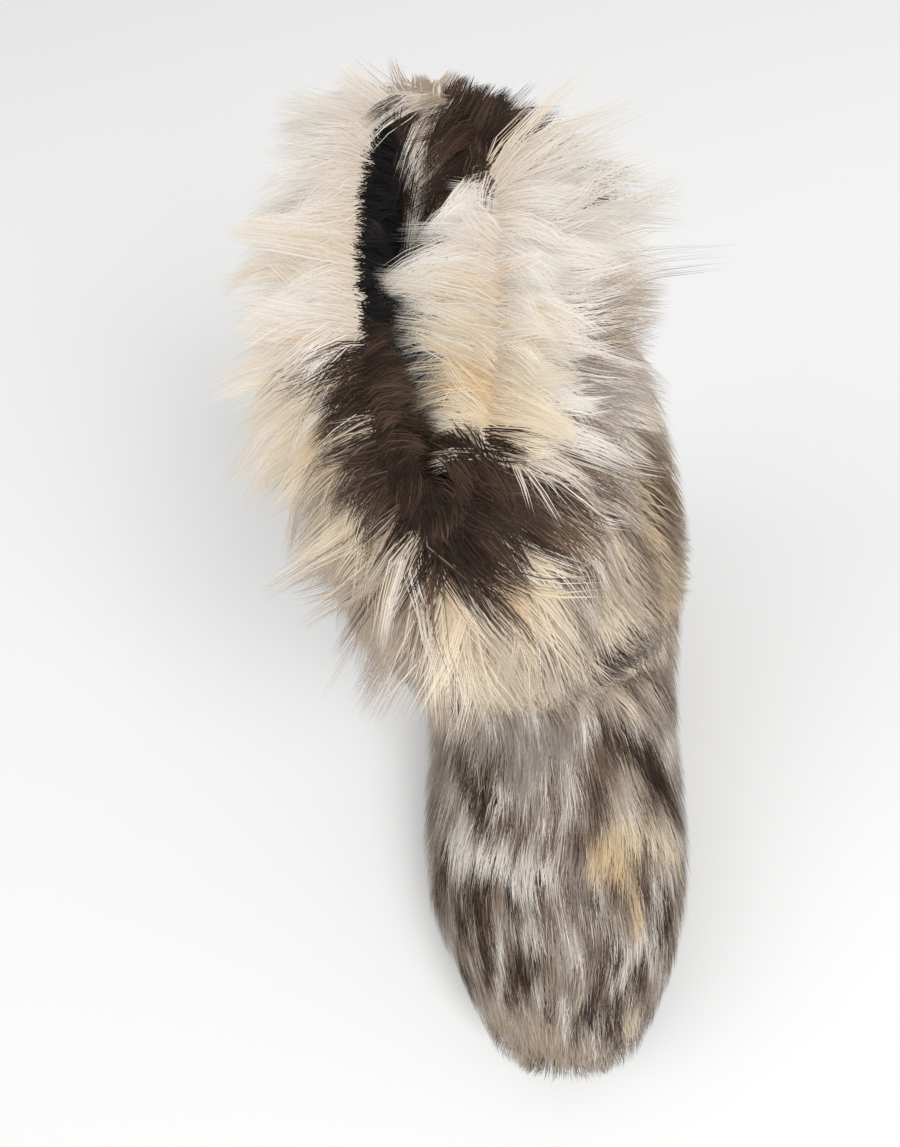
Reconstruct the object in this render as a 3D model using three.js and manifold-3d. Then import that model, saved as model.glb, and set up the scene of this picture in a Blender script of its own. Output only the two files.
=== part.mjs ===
// A slack, calf-high boot of long fur, for the right foot, standing empty on its sole. Millimetres.
// +Z is up, the toe points to -Y and the inner side of the foot faces +X.
// The origin is on the floor, at the middle of the heel's flat spot.
import * as THREE from "three";
import { mergeVertices } from "three/addons/utils/BufferGeometryUtils.js";
import Module from "manifold-3d";

const wasm = await Module();
wasm.setup();

// Driving sizes
const SOLE_LENGTH = 270;
const BALL_WIDTH = 102;
const INSTEP_HEIGHT = 108;
const COLLAR_HEIGHT = 318;
const SOLE_TOP = 8;
const HEEL_REST = 95; // from the middle of the sole back to the middle of the heel's flat spot

// The cloth wall of the upper, and the clearance between pieces that are sewn or glued together
const WALL = 3;
const GAP = 0.35;

// The body of the sole and of the insole
const SOLE_RIM = 13;
const TOE_SPRING = 5;
const WAIST_LIFT = 2.5;
const SOLE_BEVEL = 2.5;
const INSOLE_TOP = 16.5;
const INSOLE_TOE = -0.46; // where the insole ends, as a share of the sole's length from its middle
const LASTING_MARGIN = 17;

// Depth of the dense part of the fur, over which the locks stand
const FOOT_PILE = 8;
const SHAFT_PILE = 15;
const UNDER_PILE = 0.3; // the share of the depth that is left where the fur faces the floor
const UNDER_FROM = 0.6; // how far a face turns down before its fur thins
const FUR_HEM = 4; // the lowest that the fur hangs, above the floor
const FUR_REACH = 30; // further out than any lock

// The sections of the upper, from the toe to the collar. Each lies in a plane through a point on the
// back or underside and one on the front or top. Columns: backY and frontY in percent of the sole's
// length from its middle, backZ and frontZ in percent of the instep's height above the sole and, past
// 100, of the rise from instep to collar, lateral and medial half widths in percent of the ball width,
// the widest place as a share of the way from back to front, the squareness of the back and front
// halves, and the sideways shift of the back and front points in millimetres.
const SECTIONS = {
  //          backY backZ frontY frontZ lateral medial widest squareBack squareFront backX frontX
  tip:        [-51.5, 11, -51.5, 21, 4, 8, 0.5, 2, 2, 3, 3],
  toe_end:    [-50, 4, -50.5, 29, 15, 21, 0.45, 2.6, 2.2, 1, 1],
  toe:        [-47, 1.5, -47, 37, 26, 32, 0.42, 3.2, 2.3, 0, 0],
  toe_box:    [-41, 0, -41, 43, 36, 40, 0.4, 3.6, 2.4, 0, 0],
  joint:      [-33, 0, -33, 49, 45, 46, 0.38, 3.8, 2.3, 0, 0],
  ball:       [-22, 0, -22, 57, 50, 49, 0.37, 3.8, 2.2, 0, 0],
  vamp:       [-12, 0, -12, 69, 50, 47, 0.36, 3.6, 2.1, 0, 0],
  instep:     [-2, 0, -4.5, 84, 48, 45, 0.36, 3.4, 2.1, -1, 0],
  throat:     [10, 0, -1, 100, 47, 44, 0.4, 3.2, 2.1, -1, -1],
  crease:     [22, 0, 0.5, 106, 46, 43, 0.44, 3, 2.1, -1, -2],
  seat:       [35, 0, 0, 112, 45, 43, 0.48, 2.8, 2.1, -1, -4],
  heel_low:   [46.5, 3, -2.5, 119, 45, 43, 0.5, 2.6, 2.1, -1, -6],
  heel:       [51, 25, -4.5, 126, 46, 43, 0.5, 2.4, 2.1, -1, -7],
  heel_top:   [51.5, 58, -6.5, 133, 47, 44, 0.5, 2.3, 2.1, -2, -8],
  ankle:      [50.5, 98, -9, 141, 48, 44, 0.5, 2.2, 2.1, -5, -9],
  low_shaft:  [50, 120, -11, 151, 48, 44, 0.48, 2.2, 2.1, -11, -11],
  mid_shaft:  [50.5, 142, -12.5, 164, 46, 42, 0.46, 2.2, 2, -18, -13],
  high_shaft: [51, 163, -13.5, 177, 40, 36, 0.43, 2.3, 1.9, -25, -15],
  low_collar: [51.5, 180, -14, 190, 31, 28, 0.4, 2.4, 1.8, -31, -16],
  collar:     [51.5, 193, -14, 200, 25, 21, 0.38, 2.4, 1.7, -35, -17],
};
const NAMES = Object.keys(SECTIONS);
const ROWS = Object.values(SECTIONS);
const LAST = ROWS.length - 1;
const row = (name) => NAMES.indexOf(name);

// Half widths of the sole, in millimetres, at places in percent of its length from the middle
const SOLE_PLAN = [
  // place lateral medial bottom
  [-50, 8, 16, 1],
  [-48.5, 20, 27, 0.9],
  [-45, 29, 35, 0.62],
  [-40, 36, 41, 0.3],
  [-32, 44, 46, 0],
  [-22, 49, 48, 0],
  [-12, 48.5, 44, 0],
  [0, 44, 37, 0],
  [12, 40, 34, 0],
  [22, 38, 35, 0],
  [35, 37, 37, 0],
  [42, 34, 34, 0],
  [47, 25, 25, 0.1],
  [49.5, 12, 12, 0.3],
];

// The locks of fur: rows at these sections, and how many stand round each
const FOOT_LOCKS = [
  ["toe_box", 9],
  ["ball", 10],
  ["vamp", 11],
  ["instep", 11],
  ["throat", 11],
];
const SHAFT_LOCKS = [
  ["seat", 11],
  ["heel", 11],
  ["ankle", 12],
  ["low_shaft", 11],
  ["mid_shaft", 12],
  ["high_shaft", 11],
];
const LOCK_OVERLAP = 1.3; // a lock's length over the distance to the next row
const LOCK_LONGEST = 58;
const LOCK_SHORTEST = 24;
const LOCK_CLOSEST = 16; // rows that crowd together on the inside of the bend leave locks out
const FOOT_LOCK_LIFT = 5;
const SHAFT_LOCK_LIFT = 7;
const LOCK_ROOT = 5; // how deep a lock's root and keel lie in the fur below it
const LOCK_SINK = 2; // how deep its sides lie

// The rolled fur round the collar, cut across, with the upper's wall still inside it
const CUFF_FROM = row("high_shaft") + 0.45;
const CUFF_DROP = 45;
const CUFF_PROFILE = [
  // down from the wall's edge as a share of the cuff, and out from the wall's outer face
  [1, -0.5],
  [0.95, 13],
  [0.6, 19],
  [0.2, 20],
  [-0.12, 13],
  [-0.24, 3],
  [-0.2, -5],
  [0, -8],
  [0.4, -8],
  [0.72, -6.5],
  [0.8, -WALL + 0.5],
];
// How full the cuff's outer side is, in a share of the profile, at degrees round the collar
const CUFF_FULLNESS = [
  [-180, 1],
  [-140, 1.25],
  [-100, 1.3],
  [-65, 1.25],
  [-40, 0.95],
  [-10, 0.9],
  [20, 1],
  [100, 1.1],
  [180, 1],
];
const CUFF_LOCKS = 16;
// A lock of the cuff from root to tip: down from the edge as a share of the cuff, and out from the wall
const CUFF_LOCK = { rootDown: -0.1, tipDown: 0.75, bend: 1.3, rootOut: 9, tipOut: [28, 34], lift: 5 };

const AROUND = 20; // points round a section
const SMALL_STEP = 0.001; // points closer than this are one
const FAR = 400; // further than any piece reaches

const clamp01 = (x) => Math.min(1, Math.max(0, x));
const smooth = (x) => {
  const t = clamp01(x);
  return t * t * (3 - 2 * t);
};
const mix = (a, b, t) => a + (b - a) * t;
const signedPower = (x, power) => Math.sign(x) * Math.abs(x) ** power;

// A repeatable number from 0 to 1 for a lock
const jitter = (i, k) => {
  const x = Math.sin(i * 127.1 + k * 311.7) * 43758.5453;
  return x - Math.floor(x);
};

// Height in millimetres from a level: 0 at the sole, 100 at the instep, 200 at the collar
const heightOf = (level) =>
  level < 100
    ? mix(SOLE_TOP, INSTEP_HEIGHT, level / 100)
    : mix(INSTEP_HEIGHT, COLLAR_HEIGHT, (level - 100) / 100);

// The section at s, which counts rows from the toe, on one smooth curve through the rows
function sectionAt(s) {
  const at = Math.min(Math.max(s, 0), LAST - 1e-9);
  const i = Math.floor(at);
  const t = at - i;
  const [p0, p1, p2, p3] = [-1, 0, 1, 2].map((k) => ROWS[Math.min(Math.max(i + k, 0), LAST)]);
  const v = p1.map(
    (_, c) =>
      0.5 *
      (2 * p1[c] +
        (p2[c] - p0[c]) * t +
        (2 * p0[c] - 5 * p1[c] + 4 * p2[c] - p3[c]) * t * t +
        (3 * p1[c] - p0[c] - 3 * p2[c] + p3[c]) * t ** 3),
  );
  const [backY, backZ, frontY, frontZ, lateral, medial, widest, squareBack, squareFront, backX, frontX] = v;
  return {
    back: new THREE.Vector3(backX, (backY * SOLE_LENGTH) / 100, heightOf(backZ)),
    front: new THREE.Vector3(frontX, (frontY * SOLE_LENGTH) / 100, heightOf(frontZ)),
    lateral: (lateral * BALL_WIDTH) / 100,
    medial: (medial * BALL_WIDTH) / 100,
    widest,
    squareBack,
    squareFront,
  };
}

// A point of the upper's outer face grown by out: s from toe to collar, angle round from the front or top
// towards the inner side of the foot
function body(s, angle, out = 0) {
  const { back, front, lateral, medial, widest, squareBack, squareFront } = sectionAt(s);
  const c = Math.cos(angle);
  const d = Math.sin(angle);
  const n = c >= 0 ? squareFront : squareBack;
  const length = Math.hypot(front.y - back.y, front.z - back.z);
  const half = (c >= 0 ? 1 - widest : widest) * length + out;
  const along = (widest * length + half * signedPower(c, 2 / n)) / length;
  const side = ((d >= 0 ? medial : lateral) + out) * signedPower(d, 2 / n);
  const p = new THREE.Vector3().lerpVectors(back, front, along);
  p.x += side;
  p.y -= out * (1 - smooth(s / 3)); // the toe end grows forwards
  return p;
}

// Unit vectors at a place on the upper: up along the boot, round it, and out of it
function directions(s, angle, out) {
  const low = Math.max(0, s - 0.02);
  const high = Math.min(LAST, s + 0.02);
  const up = body(high, angle, out).sub(body(low, angle, out)).normalize();
  const round = body(s, angle + 0.03, out).sub(body(s, angle - 0.03, out)).normalize();
  return { up, round, outward: new THREE.Vector3().crossVectors(round, up).normalize() };
}

// How deep the fur is: thicker on the shaft, and thin where the foot curves under
function pileDepth(s, angle) {
  const depth = mix(FOOT_PILE, SHAFT_PILE, smooth((s - row("instep")) / (row("ankle") - row("instep"))));
  const facingDown = -directions(s, angle, 0).outward.z;
  return depth * mix(1, UNDER_PILE, smooth((facingDown - UNDER_FROM) / (1 - UNDER_FROM)));
}

// A manifold-3d solid from points and triangles
function solid(points, triangles) {
  const g = new THREE.BufferGeometry().setFromPoints(points).setIndex(triangles);
  const m = mergeVertices(g, SMALL_STEP);
  const faces = [];
  for (let i = 0; i < m.index.count; i += 3) {
    const [a, b, c] = [0, 1, 2].map((k) => m.index.getX(i + k));
    if (a !== b && b !== c && c !== a) faces.push(a, b, c);
  }
  const mesh = new wasm.Mesh({
    numProp: 3,
    vertProperties: m.attributes.position.array,
    triVerts: new Uint32Array(faces),
  });
  const made = new wasm.Manifold(mesh);
  return made.volume() < 0 ? solid(points, triangles.toReversed()) : made;
}

// A closed solid through rings with the same number of points, capped at both ends or joined in a loop
function loft(rings, { loop = false } = {}) {
  const n = rings[0].length;
  const points = rings.flat();
  const triangles = [];
  const spans = loop ? rings.length : rings.length - 1;
  for (let r = 0; r < spans; r++) {
    const low = r * n;
    const high = ((r + 1) % rings.length) * n;
    for (let i = 0; i < n; i++) {
      const j = (i + 1) % n;
      triangles.push(low + i, low + j, high + j, low + i, high + j, high + i);
    }
  }
  if (!loop) {
    for (const [first, turned] of [[0, false], [(rings.length - 1) * n, true]]) {
      const middle = points.slice(first, first + n).reduce((sum, p) => sum.clone().add(p));
      const centre = points.push(middle.multiplyScalar(1 / n)) - 1;
      for (let i = 0; i < n; i++) {
        const [a, b] = [first + i, first + ((i + 1) % n)];
        triangles.push(centre, ...(turned ? [a, b] : [b, a]));
      }
    }
  }
  return solid(points, triangles);
}

const angles = (count) => Array.from({ length: count }, (_, i) => (2 * Math.PI * i) / count);
const ring = (s, out) => angles(AROUND).map((a) => body(s, a, typeof out === "function" ? out(s, a) : out));

// Places of the rings: two a row at the rounded toe and heel, and one a row on the straighter rest
function ringPlaces(from, to, fine) {
  const places = [from];
  for (let i = Math.ceil(from + 0.01); i < to - 0.01; i++) {
    places.push(i);
    const rounded = i < row("joint") || (i >= row("seat") && i < row("heel_top"));
    if (fine && rounded && i + 0.5 < to) places.push(i + 0.5);
  }
  places.push(to);
  return fine && from === 0 ? [0, 0.5, ...places.slice(1)] : places;
}

// The boot's form, filled, from one place to another
const filled = (out, from = 0, to = LAST, fine = true) =>
  loft(ringPlaces(from, to, fine).map((s) => ring(s, out)));

const box = (low, high) => {
  const g = new THREE.BoxGeometry(high[0] - low[0], high[1] - low[1], high[2] - low[2]);
  g.translate(...low.map((v, i) => (v + high[i]) / 2));
  g.deleteAttribute("normal").deleteAttribute("uv");
  const m = mergeVertices(g);
  const points = [];
  for (let i = 0; i < m.attributes.position.count; i++)
    points.push(new THREE.Vector3().fromBufferAttribute(m.attributes.position, i));
  return solid(points, [...m.index.array]);
};

const belowHeight = (z) => box([-FAR, -FAR, -FAR], [FAR, FAR, z]);

// The sole's bottom: flat under the ball and the heel, lifted at the waist and the toe
function soleBottom(place, lift) {
  const waist = smooth((place + 9) / 8) * (1 - smooth((place - 14) / 8));
  return lift * TOE_SPRING + waist * WAIST_LIFT;
}

// Crossways slices of a plate with the sole's outline, inset, from its bottom or a height up to a height
function solePlate(inset, bottom, top, bevel) {
  const slices = SOLE_PLAN.map(([place, lateral, medial, lift]) => {
    const y = ((SOLE_LENGTH - 2 * inset) / 100) * place;
    const left = Math.max(1, lateral - inset);
    const right = Math.max(1, medial - inset);
    const low = bottom ?? soleBottom(place, lift);
    const edge = Math.min(bevel, left / 2, right / 2);
    return [
      [-left + edge, low],
      [0, low],
      [right - edge, low],
      [right, low + bevel],
      [right - bevel / 4, top],
      [-left + bevel / 4, top],
      [-left, low + bevel],
    ].map(([x, z]) => new THREE.Vector3(x, y, z));
  });
  return loft(slices);
}

// One lock of fur lying along the nap: a root inside the fur below, a raised belly and a free tip.
// path gives the point at a share of the lock's way and at a height over the fur.
function lock(path, width, lift) {
  const across = (share, half, top, keel) => {
    const middle = path(share, 0);
    const ahead = path(share + 0.05, 0).sub(path(share - 0.05, 0)).normalize();
    const outward = path(share, 1).sub(middle).normalize();
    const side = new THREE.Vector3().crossVectors(ahead, outward).normalize();
    const sunk = half ? LOCK_SINK : -top;
    return [
      middle.clone().addScaledVector(outward, top),
      middle.clone().addScaledVector(side, half).addScaledVector(outward, -sunk),
      middle.clone().addScaledVector(outward, -keel),
      middle.clone().addScaledVector(side, -half).addScaledVector(outward, -sunk),
    ];
  };
  const root = across(0, width * 0.3, -1, LOCK_ROOT);
  const belly = across(0.45, width * 0.5, lift, LOCK_ROOT);
  const tip = across(1, 0, lift / 3, -lift / 3);
  return loft([root, belly, tip]);
}

// Rows of locks over a part of the boot, from a list of sections and counts, none reaching past lowest
function lockRows(list, previous, lowest, lift) {
  const locks = [];
  list.forEach(([name, count], line) => {
    const s = row(name);
    const below = line ? row(list[line - 1][0]) : previous;
    for (let i = 0; i < count; i++) {
      const seed = s * 31 + i;
      const angle = (2 * Math.PI * (i + (line % 2) / 2 + 0.2 * jitter(seed, 1))) / count;
      const at = body(s, angle);
      const underside = directions(s, angle, 0).outward.z < -0.35;
      if (underside || at.z < 2 * SOLE_TOP) continue;
      const step = at.distanceTo(body(below, angle));
      if (step < LOCK_CLOSEST) continue;
      const length = Math.min(LOCK_LONGEST, Math.max(LOCK_SHORTEST, step * LOCK_OVERLAP));
      const reach = ((s - below) * length) / step;
      const turn = 0.16 * (jitter(seed, 2) - 0.5);
      const path = (share, height) => {
        const to = Math.max(lowest, s - reach * share);
        const a = angle + turn * share;
        return body(to, a, pileDepth(to, a) + height);
      };
      const girth = at.distanceTo(body(s, angle + (2 * Math.PI) / count));
      locks.push(lock(path, girth * 0.92, lift * mix(0.75, 1.25, jitter(seed, 3))));
    }
  });
  return locks;
}

const union = (parts) => parts.reduce((sum, part) => sum.add(part));

// The largest body of a solid, without the crumbs that a cut leaves and the pockets that locks close off
const largest = (made) => made.decompose().reduce((a, b) => (b.volume() > a.volume() ? b : a));

// Outsole: a rubber plate that cups the edge of the upper
function makeOutsole() {
  return solePlate(0, undefined, SOLE_RIM, SOLE_BEVEL).subtract(filled(GAP));
}

// Upper: one hollow cloth wall, open at the collar and underneath, where the insole and sole close it
function makeUpper() {
  const outside = filled(0);
  const inside = filledPast(-WALL, 0, WALL);
  const underside = solePlate(LASTING_MARGIN, -SOLE_TOP, 2 * SOLE_TOP, 0.5);
  return largest(outside.subtract(inside).subtract(underside));
}

// The boot's form, filled, that runs on past the collar's edge by a rise
function filledPast(out, from, rise) {
  const raised = (a) => body(LAST, a, out).addScaledVector(directions(LAST, a, out).up, rise);
  const edge = angles(AROUND).map(raised);
  return loft([...ringPlaces(from, LAST, true).map((s) => ring(s, out)), edge]);
}

// Insole: a soft footbed that fits the inside of the upper and fills its opening down to the sole
function makeInsole() {
  const bed = filled(-WALL - GAP)
    .subtract(box([-FAR, -FAR, INSOLE_TOP], [FAR, FAR, FAR]))
    .subtract(box([-FAR, -FAR, -FAR], [FAR, INSOLE_TOE * SOLE_LENGTH, FAR]));
  const filler = solePlate(LASTING_MARGIN + GAP, SOLE_TOP, INSOLE_TOP - 1, 0).intersect(filled(0));
  return bed.add(filler);
}

// Fur of the foot and fur of the shaft: dense pile between the upper's face and a grown face, with its
// locks fused on, clear of the sole and of the floor
function makeFur(from, to, locks) {
  const sole = solePlate(-2 * GAP, -SOLE_TOP, SOLE_RIM + GAP, 0.5);
  const pile = filled(pileDepth, from, to, false);
  const fur = largest(union([pile, ...locks]).intersect(filled(FUR_REACH, from, to)));
  return largest(fur.subtract(filled(GAP)).subtract(sole).subtract(belowHeight(FUR_HEM)));
}

// Where the two furs meet, half the gap there, and how far short of it the locks end, all in rows
const SEAM = row("throat") + 0.5;
const SEAM_GAP = 0.012;
const TIP_MARGIN = 0.1;

function makeFootFur() {
  const locks = lockRows(FOOT_LOCKS, row("toe_end"), TIP_MARGIN, FOOT_LOCK_LIFT);
  return makeFur(0, SEAM - SEAM_GAP, locks);
}

function makeShaftFur() {
  const locks = lockRows(SHAFT_LOCKS, row("throat"), SEAM + TIP_MARGIN, SHAFT_LOCK_LIFT);
  return makeFur(SEAM + SEAM_GAP, CUFF_FROM - SEAM_GAP, locks);
}

function cuffFullness(angle) {
  const turn = THREE.MathUtils.radToDeg(Math.atan2(Math.sin(angle), Math.cos(angle)));
  const next = CUFF_FULLNESS.findIndex(([at]) => at >= turn);
  const [[at0, full0], [at1, full1]] = CUFF_FULLNESS.slice(Math.max(next, 1) - 1, Math.max(next, 1) + 1);
  return mix(full0, full1, smooth((turn - at0) / (at1 - at0)));
}

// A place on the cuff: how far down from the edge as a share of the cuff, and how far out from the wall
function cuffPoint(down, angle, out) {
  const s = LAST - clamp01(down) * (LAST - CUFF_FROM);
  const p = body(s, angle, out > 0 ? out * cuffFullness(angle) : out);
  return down < 0 ? p.addScaledVector(directions(LAST, angle, 0).up, -down * CUFF_DROP) : p;
}

// Cuff: fur rolled over the collar's edge and sewn down inside, with locks that fall out and in
function makeCuff() {
  const rings = angles(AROUND).map((a) => CUFF_PROFILE.map(([down, out]) => cuffPoint(down, a, out)));
  const roll = loft(rings, { loop: true });
  const locks = [];
  for (let i = 0; i < CUFF_LOCKS; i++) {
    const angle = (2 * Math.PI * (i + 0.3 * jitter(i, 4))) / CUFF_LOCKS;
    const beside = cuffPoint(0, angle + (2 * Math.PI) / CUFF_LOCKS, CUFF_LOCK.rootOut);
    const girth = cuffPoint(0, angle, CUFF_LOCK.rootOut).distanceTo(beside);
    const tipOut = mix(...CUFF_LOCK.tipOut, jitter(i, 5));
    const path = (share, height) => {
      const down = mix(CUFF_LOCK.rootDown, CUFF_LOCK.tipDown, clamp01(share) ** CUFF_LOCK.bend);
      return cuffPoint(down, angle, mix(CUFF_LOCK.rootOut, tipOut, share) + height);
    };
    locks.push(lock(path, girth, CUFF_LOCK.lift));
  }
  return largest(largest(union([roll, ...locks])).subtract(cuffHollow()));
}

// What the cuff leaves clear: the upper's wall
function cuffHollow() {
  return filledPast(GAP, CUFF_FROM - 1, GAP).subtract(filledPast(-WALL - GAP, CUFF_FROM - 1, WALL));
}

// Each piece: its solid, and the colour and roughness of its material
const PIECES = [
  ["outsole", makeOutsole, 0x24211f, 0.75],
  ["insole", makeInsole, 0x1c1c1f, 0.95],
  ["upper", makeUpper, 0x17181b, 0.9],
  ["fur_foot", makeFootFur, 0xa99c8e, 0.8],
  ["fur_shaft", makeShaftFur, 0xb3a697, 0.8],
  ["fur_cuff", makeCuff, 0xe0d3bf, 0.8],
];

function meshOf(name, made, colour, roughness) {
  const m = made.getMesh();
  const positions = new Float32Array(m.numVert * 3);
  for (let i = 0; i < m.numVert; i++)
    positions.set(m.vertProperties.subarray(i * m.numProp, i * m.numProp + 3), i * 3);
  const g = new THREE.BufferGeometry()
    .setAttribute("position", new THREE.BufferAttribute(positions, 3))
    .setIndex(new THREE.BufferAttribute(new Uint32Array(m.triVerts), 1));
  g.computeVertexNormals();
  const material = new THREE.MeshStandardMaterial({ color: colour, roughness, metalness: 0 });
  const mesh = new THREE.Mesh(g, material);
  mesh.name = name;
  return mesh;
}

const boot = new THREE.Group();
boot.position.y = -HEEL_REST;
for (const [name, make, colour, roughness] of PIECES) boot.add(meshOf(name, make(), colour, roughness));

export default boot;
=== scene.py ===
"""The look of the fur boot: its hairs, linings, sole, floor, light and camera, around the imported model."""
import math

import bpy
import numpy as np
from mathutils import Matrix, Vector, kdtree


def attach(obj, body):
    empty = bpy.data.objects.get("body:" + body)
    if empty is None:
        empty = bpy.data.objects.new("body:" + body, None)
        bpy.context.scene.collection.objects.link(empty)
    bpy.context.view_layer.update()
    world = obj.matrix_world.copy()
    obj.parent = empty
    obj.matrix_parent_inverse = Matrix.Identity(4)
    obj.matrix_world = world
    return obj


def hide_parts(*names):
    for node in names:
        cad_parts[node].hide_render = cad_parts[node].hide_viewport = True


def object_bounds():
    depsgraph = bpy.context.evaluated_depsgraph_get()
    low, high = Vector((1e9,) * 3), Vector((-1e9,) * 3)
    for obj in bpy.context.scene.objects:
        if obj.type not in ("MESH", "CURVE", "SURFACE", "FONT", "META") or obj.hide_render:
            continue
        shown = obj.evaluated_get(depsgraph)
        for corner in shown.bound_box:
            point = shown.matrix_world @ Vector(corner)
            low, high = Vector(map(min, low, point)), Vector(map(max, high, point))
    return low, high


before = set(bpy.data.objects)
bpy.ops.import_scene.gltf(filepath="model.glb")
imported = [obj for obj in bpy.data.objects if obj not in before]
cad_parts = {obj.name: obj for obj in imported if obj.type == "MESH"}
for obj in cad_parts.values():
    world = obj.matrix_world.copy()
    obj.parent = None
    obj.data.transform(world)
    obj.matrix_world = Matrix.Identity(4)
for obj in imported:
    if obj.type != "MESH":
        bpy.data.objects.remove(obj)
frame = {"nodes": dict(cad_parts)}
cad_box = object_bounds()

MM = 0.001
SEED = 7

# Driving sizes of the boot, in millimetres, as in the part's source
SOLE_LENGTH = 270
BALL_WIDTH = 102
SOLE_TOP = 8
INSTEP_HEIGHT = 108
COLLAR_HEIGHT = 318
HEEL_REST = 95
WALL = 3
GAP = 0.35

# The sections of the upper from the toe to the collar, with the columns that the part's source gives
# them: back y and z, front y and z, lateral and medial half width, widest place, squareness of the back
# and the front half, and sideways shift of the back and the front point
SECTIONS = {
    "tip": (-51.5, 11, -51.5, 21, 4, 8, 0.5, 2, 2, 3, 3),
    "toe_end": (-50, 4, -50.5, 29, 15, 21, 0.45, 2.6, 2.2, 1, 1),
    "toe": (-47, 1.5, -47, 37, 26, 32, 0.42, 3.2, 2.3, 0, 0),
    "toe_box": (-41, 0, -41, 43, 36, 40, 0.4, 3.6, 2.4, 0, 0),
    "joint": (-33, 0, -33, 49, 45, 46, 0.38, 3.8, 2.3, 0, 0),
    "ball": (-22, 0, -22, 57, 50, 49, 0.37, 3.8, 2.2, 0, 0),
    "vamp": (-12, 0, -12, 69, 50, 47, 0.36, 3.6, 2.1, 0, 0),
    "instep": (-2, 0, -4.5, 84, 48, 45, 0.36, 3.4, 2.1, -1, 0),
    "throat": (10, 0, -1, 100, 47, 44, 0.4, 3.2, 2.1, -1, -1),
    "crease": (22, 0, 0.5, 106, 46, 43, 0.44, 3, 2.1, -1, -2),
    "seat": (35, 0, 0, 112, 45, 43, 0.48, 2.8, 2.1, -1, -4),
    "heel_low": (46.5, 3, -2.5, 119, 45, 43, 0.5, 2.6, 2.1, -1, -6),
    "heel": (51, 25, -4.5, 126, 46, 43, 0.5, 2.4, 2.1, -1, -7),
    "heel_top": (51.5, 58, -6.5, 133, 47, 44, 0.5, 2.3, 2.1, -2, -8),
    "ankle": (50.5, 98, -9, 141, 48, 44, 0.5, 2.2, 2.1, -5, -9),
    "low_shaft": (50, 120, -11, 151, 48, 44, 0.48, 2.2, 2.1, -11, -11),
    "mid_shaft": (50.5, 142, -12.5, 164, 46, 42, 0.46, 2.2, 2, -18, -13),
    "high_shaft": (51, 163, -13.5, 177, 40, 36, 0.43, 2.3, 1.9, -25, -15),
    "low_collar": (51.5, 180, -14, 190, 31, 28, 0.4, 2.4, 1.8, -31, -16),
    "collar": (51.5, 193, -14, 200, 25, 21, 0.38, 2.4, 1.7, -35, -17),
}
NAMES = list(SECTIONS)
ROWS = np.array(list(SECTIONS.values()), float)
LAST = len(ROWS) - 1
SEAM = NAMES.index("throat") + 0.5
CUFF_FROM = NAMES.index("high_shaft") + 0.45
CUFF_DROP = 45


def smooth(x):
    """From 0 to 1 with a soft start and end, as x goes from 0 to 1."""
    x = np.clip(x, 0, 1)
    return x * x * (3 - 2 * x)


def mix(a, b, t):
    """Between a and b, at a share t of the way."""
    return a + (b - a) * t


def unit(v):
    """Vectors of length one."""
    return v / np.maximum(np.linalg.norm(v, axis=-1, keepdims=True), 1e-9)


def height_of(level):
    """A height in millimetres from a level, where 0 is the sole's top, 100 the instep, 200 the collar."""
    low = mix(SOLE_TOP, INSTEP_HEIGHT, level / 100)
    high = mix(INSTEP_HEIGHT, COLLAR_HEIGHT, (level - 100) / 100)
    return np.where(level < 100, low, high)


def section_at(s):
    """The columns of the section at s, on one smooth curve through the rows."""
    s = np.clip(s, 0, LAST - 1e-9)
    i = np.floor(s).astype(int)
    t = (s - i)[..., None]
    p0, p1, p2, p3 = (ROWS[np.clip(i + k, 0, LAST)] for k in (-1, 0, 1, 2))
    bend = (2 * p0 - 5 * p1 + 4 * p2 - p3) * t**2 + (3 * p1 - p0 - 3 * p2 + p3) * t**3
    return 0.5 * (2 * p1 + (p2 - p0) * t + bend)


def body(s, angle, out=0.0):
    """Points of the upper's outer face grown by out, in millimetres, as in the part's source."""
    s, angle, out = np.broadcast_arrays(*(np.asarray(v, float) for v in (s, angle, out)))
    v = section_at(s)
    back_y, front_y = (v[..., k] * SOLE_LENGTH / 100 for k in (0, 2))
    back_z, front_z = (height_of(v[..., k]) for k in (1, 3))
    lateral, medial = (v[..., k] * BALL_WIDTH / 100 for k in (4, 5))
    widest, square_back, square_front, back_x, front_x = (v[..., k] for k in range(6, 11))
    c, d = np.cos(angle), np.sin(angle)
    n = np.where(c >= 0, square_front, square_back)
    length = np.hypot(front_y - back_y, front_z - back_z)
    half = np.where(c >= 0, 1 - widest, widest) * length + out
    along = (widest * length + half * np.sign(c) * np.abs(c) ** (2 / n)) / length
    side = (np.where(d >= 0, medial, lateral) + out) * np.sign(d) * np.abs(d) ** (2 / n)
    x = mix(back_x, front_x, along) + side
    y = mix(back_y, front_y, along) - out * (1 - smooth(s / 3)) - HEEL_REST
    z = mix(back_z, front_z, along)
    return np.stack([x, y, z], -1)


def body_directions(s, angle, out):
    """Unit vectors up along the boot and out of it, and the millimetres in one row, at places on it."""
    low, high = np.maximum(0, s - 0.05), np.minimum(LAST, s + 0.05)
    up = body(high, angle, out) - body(low, angle, out)
    around = body(s, angle + 0.04, out) - body(s, angle - 0.04, out)
    pace = np.linalg.norm(up, axis=-1) / (high - low)
    return unit(up), unit(np.cross(around, up)), pace


# The roll of fur at the collar, cut across: down from the wall's edge as a share of the cuff, and out
# from the wall's outer face
CUFF_PROFILE = np.array([
    (1, 1), (0.95, 10), (0.6, 15), (0.2, 16), (-0.12, 11), (-0.22, 3), (-0.2, -4),
    (0, -6.5), (0.4, -6.5), (0.8, -5),
])


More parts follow.
